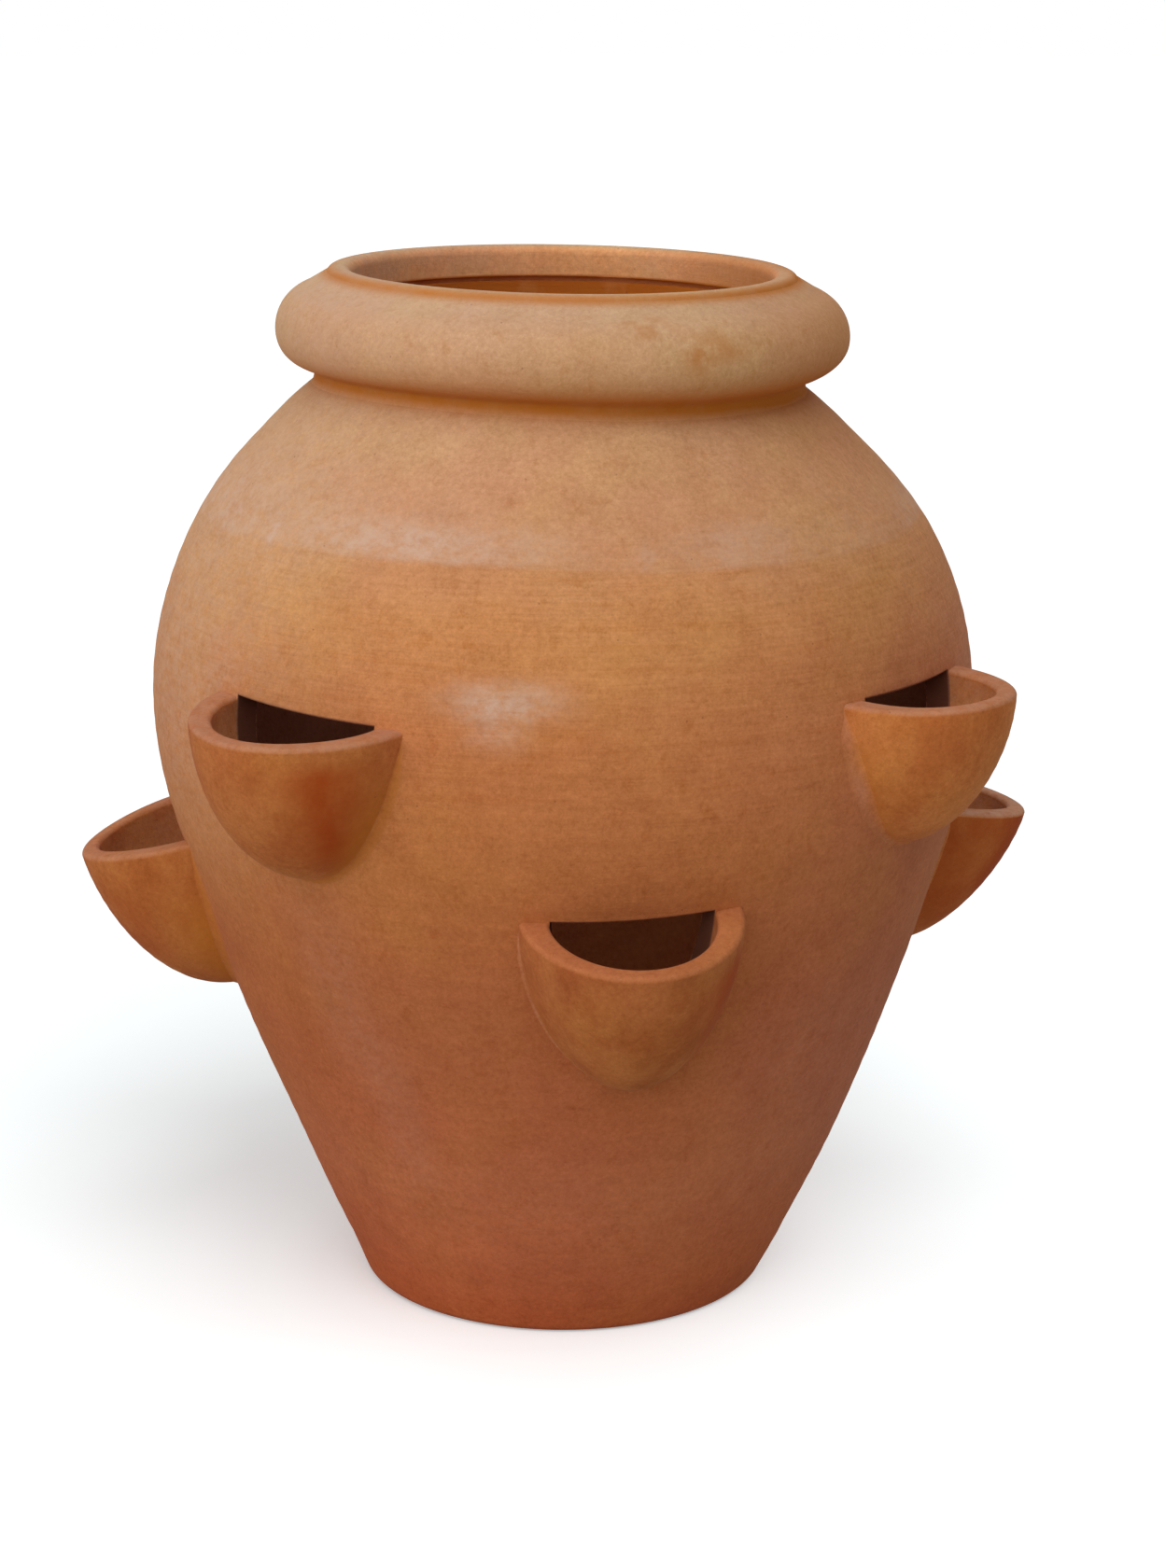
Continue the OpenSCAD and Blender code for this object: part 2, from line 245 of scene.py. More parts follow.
clay = dict(
    # fired colour up the wall: height in metres and colour, then the height of the ramp's end
    ramp=[
        (0.00, (0.465, 0.112, 0.034)), (0.10, (0.465, 0.138, 0.052)), (0.22, (0.430, 0.130, 0.041)),
        (0.30, (0.500, 0.178, 0.053)), (0.38, (0.530, 0.198, 0.065)), (0.44, (0.585, 0.262, 0.091)),
        (0.50, (0.580, 0.294, 0.142)), (0.57, (0.600, 0.352, 0.178)), (0.61, (0.620, 0.405, 0.235)),
    ],
    rampTop=0.62, rampDrift=0.11,  # and how far the edge between two tints wanders
    # the pinker, darker tint is partly painted shade on the right-hand side; the specks are the clay's own
    roseAndShade=(0.430, 0.140, 0.068), speck=(0.120, 0.040, 0.020),
    # the mouth's red inner face, brightened as painted light; painted shade deeper inside; darker painted
    # shade on the window jambs
    innerRed=(0.820, 0.365, 0.155), innerDark=(0.290, 0.110, 0.057), jambShade=(0.130, 0.045, 0.025),
    pocketOchre=(0.575, 0.205, 0.055), pocketBrown=(0.480, 0.143, 0.035),
    pocketDull=(0.650, 0.560, 0.590),  # a share of the other two
    lipPale=(0.455, 0.150, 0.048), seamPale=(0.520, 0.205, 0.092),
    # shares of the colour: warm and cool parts, burnt streaks, and the two ends of the tone
    warmShare=(1.01, 1.025, 0.95), coolShare=(0.985, 0.93, 0.97), burntShare=(0.86, 0.74, 0.58),
    darkShare=(0.72, 0.62, 0.50), lightShare=(1.28, 1.38, 1.50),
    # noise: scale, even or along each axis, then detail and roughness
    noise=dict(
        cloud=(8.0, 5.0, 0.60), mottle=(42.0, 5.0, 0.65), grain=(900.0, 2.0, 0.70), coarse=(330.0, 3.0, 0.65),
        patchy=(30.0, 4.0, 0.60), smear=(75.0, 4.0, 0.60), lines=((12, 12, 190), 4.0, 0.60),
        fineLines=((28, 28, 640), 3.0, 0.60), fleck=((130, 130, 90), 3.0, 0.60),
        torn=((110, 110, 170), 6.0, 0.75), soak=((40, 40, 22), 4.0, 0.60),
    ),
    # placed marks in the order they lie: the noise that breaks one up, its range, the least share, the colour
    laid=dict(
        Bloom=("torn", 0.34, 0.64, 0.35, (0.620, 0.410, 0.300)),  # lime bloom, and painted sheen on the sides and the collar's top
        Smudge=("smear", 0.34, 0.62, 0.0, (0.470, 0.170, 0.038)),  # ochre
        Stain=("soak", 0.30, 0.60, 0.65, (0.370, 0.060, 0.007)),  # red
        Grime=("mottle", 0.25, 0.65, 0.80, (0.505, 0.160, 0.018)),  # darker brown in creases, corners and joints: partly dirt, partly painted shade
    ),
    bellySpan=(0.28, 0.40, 0.46, 0.50),  # heights between which the throwing lines show most
    toneLow=-0.55, tone=dict(mottle=0.66, grain=0.62, coarse=0.82),
    relief=dict(grain=0.45, coarse=0.70, fineLines=0.60, lines=0.55),
    bumpDistance=0.0005, bumpStrength=0.55,
    sheen=0.02, sheenRoughness=0.45, sheenTint=(1.0, 0.90, 0.80, 1.0),
    specular=0.10,
)


# inputs by name, or by number as i0, i1 and so on: a socket is linked, anything else is set
def feed(tree, node, **values):
    for key, value in values.items():
        socket = node.inputs[int(key[1:])] if key[0] == "i" and key[1:].isdigit() else node.inputs[key]
        if isinstance(value, bpy.types.NodeSocket):
            tree.links.new(value, socket)
        else:
            socket.default_value = value


def addNode(tree, kind, settings=None, **values):
    made = tree.nodes.new("ShaderNode" + kind)
    for key, value in (settings or {}).items():
        setattr(made, key, value)
    feed(tree, made, **values)
    return made


def mathNode(tree, operation, a, b=0.0, c=0.0, clamp=False):
    made = addNode(tree, "Math", dict(operation=operation, use_clamp=clamp), i0=a, i1=b, i2=c)
    return made.outputs[0]


def times(tree, a, b, clamp=False):
    return mathNode(tree, "MULTIPLY", a, b, clamp=clamp)


def addShare(tree, value, share, base, clamp=False):
    return mathNode(tree, "MULTIPLY_ADD", value, share, base, clamp)


# an even scale is one number, a stretched one has one for each axis
def noiseNode(tree, place, scale, detail, roughness):
    if not isinstance(scale, float):
        place = addNode(tree, "Mapping", Vector=place, Scale=scale).outputs["Vector"]
        scale = 1.0
    made = addNode(tree, "TexNoise", Vector=place, Scale=scale, Detail=detail, Roughness=roughness)
    return made.outputs["Fac"]


def rangeNode(tree, value, low, high, toLow=0.0, toHigh=1.0):
    span = {"From Min": low, "From Max": high, "To Min": toLow, "To Max": toHigh}
    made = addNode(tree, "MapRange", dict(interpolation_type="SMOOTHSTEP"), i0=value, **span)
    return made.outputs["Result"]


def mixColour(tree, factor, a, b, blend="MIX"):
    a, b = ((*c, 1.0) if isinstance(c, tuple) else c for c in (a, b))
    made = addNode(tree, "Mix", dict(data_type="RGBA", blend_type=blend), i0=factor, i6=a, i7=b)
    return made.outputs[2]


def tinted(tree, colour, share):
    return mixColour(tree, 1.0, colour, share, "MULTIPLY")


def newGroup(name, inputs, outputs):
    tree = bpy.data.node_groups.new(name, "ShaderNodeTree")
    for side, sockets in (("INPUT", inputs), ("OUTPUT", outputs)):
        for label, kind in sockets:
            tree.interface.new_socket(name=label, in_out=side, socket_type="NodeSocket" + kind)
    return tree, tree.nodes.new("NodeGroupInput"), tree.nodes.new("NodeGroupOutput")


# colour by height, with an uneven edge between one tint and the next
def makeKilnTint():
    tree, given, put = newGroup("kilnTint", [("Place", "Vector")], [("Color", "Color")])
    place = given.outputs["Place"]
    height = addNode(tree, "SeparateXYZ", Vector=place).outputs["Z"]
    drift = noiseNode(tree, place, (5, 5, 9), 4.0, 0.6)
    height = mathNode(tree, "ADD", height, addShare(tree, drift, clay["rampDrift"], -clay["rampDrift"] / 2))
    height = mathNode(tree, "DIVIDE", height, clay["rampTop"], clamp=True)
    ramp = addNode(tree, "ValToRGB", Fac=height)
    stops = ramp.color_ramp.elements
    while len(stops) < len(clay["ramp"]):
        stops.new(0.5)
    for stop, (z, colour) in zip(stops, clay["ramp"]):
        stop.position = z / clay["rampTop"]
        stop.color = (*colour, 1.0)
    feed(tree, put, Color=ramp.outputs["Color"])
    return tree


maskLabels = ("Bloom", "Smudge", "Stain", "Grime", "Inside", "Deep")


# mottling, throwing lines, sand grain, specks and the placed marks over a base colour
def makeFiredClay():
    labels = (*maskLabels, "Thrown")
    tree, given, put = newGroup(
        "firedClay",
        [("Place", "Vector"), ("Base", "Color"), *[(label, "Float") for label in labels]],
        [("Color", "Color"), ("Roughness", "Float"), ("Height", "Float")],
    )
    place = given.outputs["Place"]
    mask = {label: given.outputs[label] for label in labels}
    noise = {label: noiseNode(tree, place, *settings) for label, settings in clay["noise"].items()}

    def lay(colour, label, noiseName, low, high, least, tint):
        amount = times(tree, mask[label], rangeNode(tree, noise[noiseName], low, high, least), clamp=True)
        return mixColour(tree, amount, colour, tint)

    def vary(colour, factor, low, high):
        return mixColour(tree, factor, tinted(tree, colour, clay[low]), tinted(tree, colour, clay[high]))

    # the mouth's inner face is redder, and brightened as painted light; faces deeper inside get painted shade
    colour = lay(given.outputs["Base"], "Inside", "patchy", 0.35, 0.65, 0.6, clay["innerRed"])
    colour = mixColour(tree, rangeNode(tree, mask["Deep"], 0.0, 1.0), colour, clay["innerDark"])
    # warm and cool parts of the fired body
    colour = vary(colour, rangeNode(tree, noise["cloud"], 0.40, 0.64), "coolShare", "warmShare")
    # throwing lines show most on the belly
    height = addNode(tree, "SeparateXYZ", Vector=place).outputs["Z"]
    low, lowFull, highFull, high = clay["bellySpan"]
    belly = times(tree, rangeNode(tree, height, low, lowFull), rangeNode(tree, height, high, highFull))
    lined = times(tree, addShare(tree, belly, 0.75, 0.25), mask["Thrown"])
    streak = times(tree, times(tree, rangeNode(tree, noise["lines"], 0.52, 0.70), lined), 0.45)
    # ochre flecks a few millimetres long lie all over
    fleck = rangeNode(tree, noise["fleck"], 0.56, 0.72)
    streak = addShare(tree, fleck, 0.50, streak, clamp=True)
    colour = mixColour(tree, streak, colour, tinted(tree, colour, clay["burntShare"]))
    # light and dark from every scale of the noise; the rings are zero on average
    ring = addShare(tree, noise["lines"], 0.25, addShare(tree, noise["fineLines"], 0.52, -0.385))
    tone = addShare(tree, ring, lined, clay["toneLow"])
    for label, share in clay["tone"].items():
        tone = addShare(tree, noise[label], share, tone, clamp=label == "coarse")
    colour = vary(colour, tone, "darkShare", "lightShare")
    for label, settings in clay["laid"].items():
        colour = lay(colour, label, *settings)
    # darker painted shade on the window jambs
    colour = mixColour(tree, rangeNode(tree, mask["Deep"], 1.0, 2.0), colour, clay["jambShade"])
    # tiny dark specks, a few to the square inch
    cell = addNode(tree, "TexVoronoi", Vector=place, Scale=230.0)
    dot = rangeNode(tree, cell.outputs["Distance"], 0.08, 0.18, 1.0, 0.0)
    chosen = addNode(tree, "SeparateColor", i0=cell.outputs["Color"]).outputs[0]
    speck = times(tree, times(tree, dot, rangeNode(tree, chosen, 0.955, 0.97)), 0.35)
    colour = mixColour(tree, speck, colour, clay["speck"])
    relief = times(tree, speck, -0.8)
    for label, share in clay["relief"].items():
        relief = addShare(tree, noise[label], share, relief)
    feed(tree, put, Color=colour, Roughness=addShare(tree, noise["mottle"], 0.14, 0.84), Height=relief)
    return tree


kilnTint = makeKilnTint()
firedClay = makeFiredClay()


def groupNode(tree, group, **values):
    return addNode(tree, "Group", dict(node_tree=group), **values)


def attributeNode(tree, name):
    return addNode(tree, "Attribute", dict(attribute_name=name)).outputs["Fac"]


def newFinish(name):
    finish = bpy.data.materials.new(name)
    finish.use_nodes = True
    tree = finish.node_tree
    return finish, tree, next(n for n in tree.nodes if n.type == "BSDF_PRINCIPLED")


def makeClay(name, base, thrown):
    finish, tree, shader = newFinish(name)
    place = addNode(tree, "TexCoord").outputs["Object"]
    fired = groupNode(tree, firedClay, Place=place, Base=base(tree, place), Thrown=thrown)
    feed(tree, fired, **{label: attributeNode(tree, label.lower()) for label in maskLabels})
    bump = addNode(tree, "Bump", Strength=clay["bumpStrength"], Distance=clay["bumpDistance"])
    feed(tree, bump, Height=fired.outputs["Height"])
    feed(tree, shader, Roughness=fired.outputs["Roughness"], Normal=bump.outputs["Normal"])
    tree.links.new(fired.outputs["Color"], shader.inputs["Base Color"])
    shader.inputs["Specular IOR Level"].default_value = clay["specular"]
    shader.inputs["Sheen Weight"].default_value = clay["sheen"]
    shader.inputs["Sheen Roughness"].default_value = clay["sheenRoughness"]
    shader.inputs["Sheen Tint"].default_value = clay["sheenTint"]
    return finish


def wallBase(tree, place):
    tint = groupNode(tree, kilnTint, Place=place)
    # the pinker tint is partly painted shade on the right-hand side
    return mixColour(tree, attributeNode(tree, "roseAndShade"), tint.outputs["Color"], clay["roseAndShade"])


# pockets: ochre and brown clouds, with a worn pale lip
def pocketBase(tree, place):
    cloud = noiseNode(tree, place, (34, 34, 20), 5.0, 0.62)
    colour = mixColour(tree, rangeNode(tree, cloud, 0.34, 0.64), clay["pocketBrown"], clay["pocketOchre"])
    colour = mixColour(tree, attributeNode(tree, "dull"), colour, tinted(tree, colour, clay["pocketDull"]))
    return mixColour(tree, attributeNode(tree, "lip"), colour, clay["lipPale"])


# seams: the pocket's colour on one edge, the wall's on the other, and a pale smear between
def seamBase(tree, place):
    colour = mixColour(tree, attributeNode(tree, "wallSide"), pocketBase(tree, place), wallBase(tree, place))
    cloud = rangeNode(tree, noiseNode(tree, place, 45.0, 4.0, 0.6), 0.34, 0.66, 0.25, 0.85)
    smear = times(tree, cloud, attributeNode(tree, "smear"))
    return mixColour(tree, smear, colour, clay["seamPale"])


clayFoot = makeClay("clayFoot", wallBase, 0.7)
clayWall = makeClay("clayWall", wallBase, 1.0)
clayShoulder = makeClay("clayShoulder", wallBase, 0.9)
clayRim = makeClay("clayRim", wallBase, 0.5)
clayPocket = makeClay("clayPocket", pocketBase, 0.1)
claySeam = makeClay("claySeam", seamBase, 0.1)
print("stage: clay finishes made")

# Marks on the body: turn in degrees, height in metres, half width in degrees, half height, strength

marks = dict(
    bloom=[
        (-38, 0.475, 14, 0.010, 0.46), (-22, 0.475, 13, 0.010, 0.32), (-60, 0.472, 1.0, 0.013, 0.40),
        (3, 0.471, 1.2, 0.007, 0.28), (19, 0.475, 8, 0.010, 0.28),
        (-17, 0.402, 8.0, 0.010, 0.62), (-18, 0.389, 4.2, 0.013, 0.42),
        (-46, 0.225, 6.0, 0.055, 0.10), (-40, 0.150, 5.0, 0.050, 0.08),
        (75, 0.474, 14, 0.010, 0.30), (140, 0.475, 18, 0.010, 0.34), (205, 0.474, 12, 0.010, 0.28),
        (250, 0.474, 13, 0.010, 0.32), (168, 0.405, 7, 0.014, 0.35), (112, 0.205, 2.2, 0.045, 0.12),
    ],
    smudge=[
        (7, 0.585, 5, 0.006, 0.55), (17, 0.571, 3.6, 0.011, 0.72), (24, 0.574, 3.8, 0.008, 0.58),
        (130, 0.574, 4.0, 0.009, 0.50), (228, 0.568, 5.0, 0.007, 0.45),
    ],
    bandLow=0.465, bandHigh=0.510, bandStrength=0.20,  # pale band over the shoulder's joint
    bandBlur=0.0012, bandWave=0.0015,
    # painted sheen: paler clay along the left and right sides, round the collar's top and at the foot
    paintedSheen=[
        (-86, 0.43, 36, 0.13, 0.46), (-80, 0.575, 44, 0.032, 0.36), (0, 0.592, 180, 0.010, 0.29),
        (-58, 0.50, 34, 0.04, 0.14), (48, 0.16, 28, 0.08, 0.08), (64, 0.40, 22, 0.10, 0.09),
        (-20, 0.08, 50, 0.05, 0.05),
    ],
    sienna=[(72, 0.555, 38, 0.045, 0.42), (110, 0.592, 27, 0.020, 0.45)],
    # pinker, darker clay, mostly on the right-hand side: partly the clay's own tint, partly painted shade
    roseAndShade=[
        (54, 0.31, 32, 0.11, 0.50), (50, 0.14, 36, 0.08, 0.35), (-25, 0.20, 22, 0.05, 0.25),
        (58, 0.38, 26, 0.07, 0.20),
    ],
    # darker brown in the crease under the collar and in the groove beside the lip, and a darker, redder band
    # inside under the lip
    creaseDrop=0.0015, creaseDown=0.0052, creaseUp=0.032, creaseOut=(0.037, 0.015),
    grooveRise=0.0042, grooveTall=0.0040, grooveWide=0.005, grooveDark=0.85,
    mouthDirt=0.30, mouthStain=1.2,
)


# how far the crease under the collar was pressed up at a turn
def creaseRise(az):
    facing = np.maximum(np.cos(az - math.radians(rim["creaseTurn"])), 0)
    return rim["creaseLift"] + rim["creaseMore"] * facing ** 2


# each mark is a soft oval in turn and height; the band is sharp below and fades above
def bodyMarks(points):
    az, radius, z = polar(points)
    out = {}
    for kind in ("bloom", "smudge", "paintedSheen", "sienna", "roseAndShade"):
        out[kind] = np.zeros(len(points))
        for turn, height, wide, tall, strength in marks[kind]:
            off = (np.degrees(az) - turn + 180) % 360 - 180
            oval = ((off / wide) ** 2) ** 1.5 + (((z - height) / tall) ** 2) ** 1.5
            out[kind] += strength * np.exp(-oval)
    low, blur = marks["bandLow"], marks["bandBlur"]
    edge = smoothStep(low - blur, low + blur, z + marks["bandWave"] * np.sin(3 * az))
    out["bloom"] *= np.where(np.abs(z - low) < 0.03, edge, 1.0)
    out["bloom"] += marks["bandStrength"] * edge * smoothStep(marks["bandHigh"], low, z)
    # painted sheen on the sides and the collar's top joins the lime bloom in one mask
    out["bloom"] += out.pop("paintedSheen")
    # darker brown under the collar and in the groove beside the lip
    off = z - neckZ - creaseRise(az) + marks["creaseDrop"]
    crease = np.exp(-(off / np.where(off < 0, marks["creaseDown"], marks["creaseUp"])) ** 2)
    crease = crease * smoothStep(*(neckR + r for r in marks["creaseOut"]), radius)
    up = (z - collarTopZ - marks["grooveRise"]) / marks["grooveTall"]
    groove = np.exp(-up ** 2 - ((radius - neckR) / marks["grooveWide"]) ** 2)
    underLip = (radius < mouthR + 0.002) * smoothStep(lipZ - 0.08, lipZ - 0.02, z) * (z < lipZ + 0.004)
    out["grime"] = crease + marks["grooveDark"] * groove + marks["mouthDirt"] * underLip + out.pop("sienna")
    out["stain"] = marks["mouthStain"] * underLip
    return out


# Rings of the body


def line(start, end, count):
    return np.linspace(start, end, count)


def arc(centre, radius, fromDeg, toDeg, count):
    a = np.radians(np.linspace(fromDeg, toDeg, count))
    return np.stack([centre[0] + radius * np.cos(a), centre[1] + radius * np.sin(a)], -1)


def wallLine(fromZ, toZ, grow, count):
    z = np.linspace(fromZ, toZ, count)
    return np.stack([wallRadius(z, grow), z], -1)


ringGrid = dict(turns=300, pitch=0.0018, innerPitch=0.006)
insideShade = dict(mouth=(0.47, 0.54), low=(0.26, 0.14), lowClean=0.90)


# how much painted shade the inner wall gets at a height: less near the floor
def deepShade(z):
    return 1 - insideShade["lowClean"] * smoothStep(*insideShade["low"], z)


# how red a face inside the pot is and how much painted shade it gets: red near the mouth, shaded below it
def insideMasks(radius, z):
    inner = smoothStep(-0.004, -0.010, radius - wallRadius(z))
    inner = np.where(z < neckZ, inner, smoothStep(mouthR + 0.004, mouthR + 0.001, radius))
    mouth = smoothStep(*insideShade["mouth"], z)
    return inner * mouth, inner * (1 - mouth) * deepShade(z)


# a section in radius and height, closed, carried once round the axis
def addRevolved(node, section, finish, outerRows=0, inside=None, lift=None):
    count = ringGrid["turns"]
    az = np.linspace(0, 2 * np.pi, count, endpoint=False)
    points = fromPolar(az, section[:, :1], section[:, 1:]).reshape(-1, 3)
    quads = gridQuads(len(section), count, closeRows=True, closeCols=True)
    if lift is not None:
        points = lift(points)
    masks = bodyMarks(points)
    points = byHand(ridged(points, np.repeat(np.arange(len(section)) < outerRows, count)))
    red, deep = insideMasks(section[:, 0], section[:, 1]) if inside is None else inside
    masks.update(inside=np.repeat(red, count), deep=np.repeat(deep, count))
    addPiece(node, points, quads, finish, masks)


def makeFloor():
    footN = (footP - lowC) / lowArcR
    edgeRound, drain, top = body["footRound"], body["drainR"], body["floorT"]
    corner = (body["footR"] - edgeRound * (1 + footN[1]) / footN[0], edgeRound)
    side = math.degrees(math.atan2(footN[1], footN[0]))
    edge = arc(corner, edgeRound, -90, side, 14)
    innerEdge = float(wallRadius(np.array(top), -body["wall"]))
    section = np.concatenate([
        line((drain + 0.001, 0), (corner[0], 0), 24)[:-1],
        edge,
        wallLine(edge[-1, 1] + 0.001, top, 0, 8),
        line((innerEdge, top), (drain + 0.0015, top), 20),
        arc((drain + 0.0015, top - 0.0015), 0.0015, 90, 180, 5)[1:],
        arc((drain + 0.001, 0.001), 0.001, 180, 270, 4)[:-1],
    ])
    # painted shade on the floor's inner top face
    deep = np.where((section[:, 1] > 0.017) & (section[:, 0] < innerEdge + 0.001), 0.8, 0.0)
    addRevolved("floor_disc", section, clayFoot, inside=(0 * deep, deep))


def makeFootRing():
    fromZ, toZ = body["floorT"], body["footRingZ"]
    outer = wallLine(fromZ, toZ, 0, int((toZ - fromZ) / ringGrid["pitch"]) + 2)
    inner = wallLine(toZ, fromZ, -body["wall"], int((toZ - fromZ) / ringGrid["innerPitch"]) + 2)
    addRevolved("wall_foot", np.concatenate([outer, inner]), clayFoot, len(outer))


# the clay round the crease rises with it, less and less down the shoulder and up to the collar's nose
def pressedUp(points):
    az, radius, z = polar(points)
    off = z - neckZ
    share = np.where(off < 0, smoothStep(-0.035, 0, off), np.clip(1 - off / (rim["collarH"] / 2), 0, 1) ** 2)
    share = share * (radius > neckR - 0.002)
    return points + fromPolar(az, 0.0, creaseRise(az) * share)


def makeShoulder():
    bore = body["bellyZ"] + math.sqrt((body["arcR"] - body["wall"]) ** 2 - (mouthR - bellyC[0]) ** 2)
    outer = wallLine(body["bellyRingZ"], neckZ, 0, 46)
    section = np.concatenate([
        outer,
        line((neckR, neckZ + 0.002), (neckR, lipZ), 12),
        line((mouthR, lipZ), (mouthR, bore + 0.002), 16),
        wallLine(bore, body["bellyRingZ"], -body["wall"], 24),
    ])
    addRevolved("wall_shoulder", section, clayShoulder, len(outer), lift=pressedUp)


def makeCollar():
    centre = np.array([neckR + rim["collarOut"] - rim["noseR"], neckZ + rim["collarH"] / 2])
    crease = np.array([neckR, neckZ]) - centre
    flank = math.degrees(math.atan2(crease[1], crease[0]) + math.acos(rim["noseR"] / np.linalg.norm(crease)))
    nose = arc(centre, rim["noseR"], -62, -flank, 44)
    # the crease is a quadratic curve from the shoulder to the collar's round
    foot = neckR + rim["creaseFill"]
    foot = np.array([foot, bellyC[1] + math.sqrt(body["arcR"] ** 2 - (foot - bellyC[0]) ** 2) - 0.0003])
    corner = np.array([neckR + 0.004, neckZ + 0.001])
    seat = neckR - 0.0005
    section = np.concatenate([
        line((seat, neckZ - 0.0005), foot - (0, 0.0006), 4),
        bow(foot, corner, nose[0], np.linspace(0, 1, 16)[:-1, None]),
        nose,
        line(nose[-1], (seat, collarTopZ + rim["flankUp"]), 10)[1:],
        line((seat, collarTopZ - 0.001), (seat, neckZ + 0.001), 6),
    ])
    plain = np.zeros(len(section))
    addRevolved("rim_collar", section, clayRim, inside=(plain, plain), lift=pressedUp)


def makeLip():
    r, groove = rim["lipRound"], rim["lipGroove"]
    section = np.concatenate([
        line((neckR, lipZ), (neckR, potH - r), 10)[:-1],
        arc((neckR - r, potH - r), r, 0, 90, 9),
        line((neckR - r - 0.001, potH), (mouthR + r + 0.001, potH), 5),
        arc((mouthR + r, potH - r), r, 90, 180, 9),
        line((mouthR, potH - r - 0.001), (mouthR, lipZ + groove), 10),
        line((mouthR + groove, lipZ), (neckR - 0.003, lipZ), 4),
    ])
    inner = smoothStep(mouthR + 0.0040, mouthR + 0.0005, section[:, 0])
    addRevolved("rim_lip", section, clayRim, inside=(inner, 0 * inner))


makeFloor()
makeFootRing()
makeShoulder()
makeCollar()
makeLip()
print("stage: plain rings made")

# Pockets: thrown cups, cut to the wall

pocketShape = dict(
    r=0.062, out=0.002, wall=0.016, frontWall=0.011, lipRound=0.003, full=1.85,
    lowZ=0.282, lowDepth=0.104, highZ=0.387, highDepth=0.089,
    lowTurn=(0, 93, 180, 261), lowTilt=(15.5, 9, 16, 15.5), lowRoll=(-1.5, 2.5, 1, 0),
    lowLift=(0, 0.001, 0, -0.0025), lowGrow=(-0.001, 0.003, 0, 0.008),
    lowDeep=(0.002, -0.010, 0, 0), lowFuller=(0, -0.4, 0, 0.1),
    highTurn=(45, 136, 225, 314), highTilt=(1, 7, 6, 5), highRoll=(0, -1, 0, 2),
    highLift=(0.0025, 0, 0, -0.002), highGrow=(-0.001, 0.001, 0, 0.0015),
    highDeep=(0, -0.002, 0.001, 0.004), highFuller=(0, 0.05, 0, 0.1),
    lowPhase=(0, 1.7, 3.4, 5.1), highPhase=(6.8, 8.5, 8.18, 11.9),  # of the unevenness round each cup
    embed=0.0005,
)
cups = {}
kinds = ("Turn", "Tilt", "Roll", "Lift", "Grow", "Deep", "Fuller", "Phase")
for tier in ("low", "high"):
    for i in range(4):
        own = {kind: pocketShape[tier + kind][i] for kind in kinds}
        cups[f"{tier}_{i + 1}"] = dict(
            az=math.radians(own["Turn"]), tilt=math.radians(own["Tilt"]), roll=math.radians(own["Roll"]),
            z=pocketShape[tier + "Z"] + own["Lift"], depth=pocketShape[tier + "Depth"] + own["Deep"],
            r=pocketShape["r"] + own["Grow"], full=pocketShape["full"] + own["Fuller"], phase=own["Phase"],
        )
# the hollow is set out, so that the front is thinner
hollowOut = pocketShape["wall"] - pocketShape["frontWall"]
flatRadius = 0.23  # turns are laid flat as lengths on this radius


# distance out from the pot's axis and height of a point given outward and up in the cup's own axes
def cupPlace(cup, y, h):
    c, s = math.cos(cup["tilt"]), math.sin(cup["tilt"])
    chord = math.sqrt(wallRadius(np.array(cup["z"])) ** 2 - cup["r"] ** 2)
    y = y - pocketShape["out"]
    return chord - (y * c - h * s), cup["z"] + y * s + h * c


def cupToWorld(cup, x, y, h):
    out, up = cupPlace(cup, y, h)
    c, s = math.cos(cup["az"]), math.sin(cup["az"])
    return np.stack(np.broadcast_arrays(x * c + out * s, x * s - out * c, up), -1)


def cupGap(cup, x, y, h, grow):
    out, up = cupPlace(cup, y, h)
    return np.hypot(x, out) - wallRadius(up, grow)


# a superellipse from the lip down to the point under the cup
def cupCurve(cup, r, depth, t):
    bend = 2 / cup["full"]
    return r * np.maximum(np.cos(t), 0) ** bend, -depth * np.maximum(np.sin(t), 0) ** bend


# angle from the outward side at which a ring of the cup goes into the wall
def contactAngle(cup, r, h, grow, out=0.0):
    test = lambda a: cupGap(cup, r * np.sin(a), -r * np.cos(a) - out, h, grow)
    return halfway(test, np.zeros_like(r), np.full_like(r, np.pi))


# the line where a cup's curve meets the wall, from its lip at 0 to where both sides meet under it at 1
def contactRun(cup, r, depth, grow, along, start=0.0, out=0.0):
    outside = cupGap(cup, 0.0, -out, -depth, grow) > 0
    side = -1.0 if outside else 1.0

    def tip(t):
        rr, hh = cupCurve(cup, r, depth, t)
        return side * cupGap(cup, 0 * rr, -side * rr - out, hh, grow)

    end = halfway(tip, np.array(0.0), np.array(np.pi / 2))
    t = start + (end - start) * (1 - (1 - along) ** 2)
    rr, hh = cupCurve(cup, r, depth, t)
    angle = contactAngle(cup, rr, hh, grow, out)
    angle = np.where(along >= 1, np.pi if outside else 0.0, angle)
    return rr, hh, angle, float(end), bool(outside)


def runPoints(run, out=0.0):
    rr, hh, angle = run[:3]
    return rr * np.sin(angle), -rr * np.cos(angle) - out, hh


# a turn of lengths on the wall, laid flat, about the middle of a pocket's lip
def flatTurn(cup, along, up):
    c, s = math.cos(cup["roll"]), math.sin(cup["roll"])
    return along * c + (up - cup["z"]) * s, cup["z"] - along * s + (up - cup["z"]) * c


# turns a finished pocket on the wall: each point keeps its distance from the wall's face
def turnedOnWall(cup, points):
    az, radius, z = polar(points)
    off = (az - cup["az"] + np.pi) % (2 * np.pi) - np.pi
    along, up = flatTurn(cup, off * flatRadius, z)
    return fromPolar(cup["az"] + along / flatRadius, wallRadius(up) + (radius - wallRadius(z)), up)


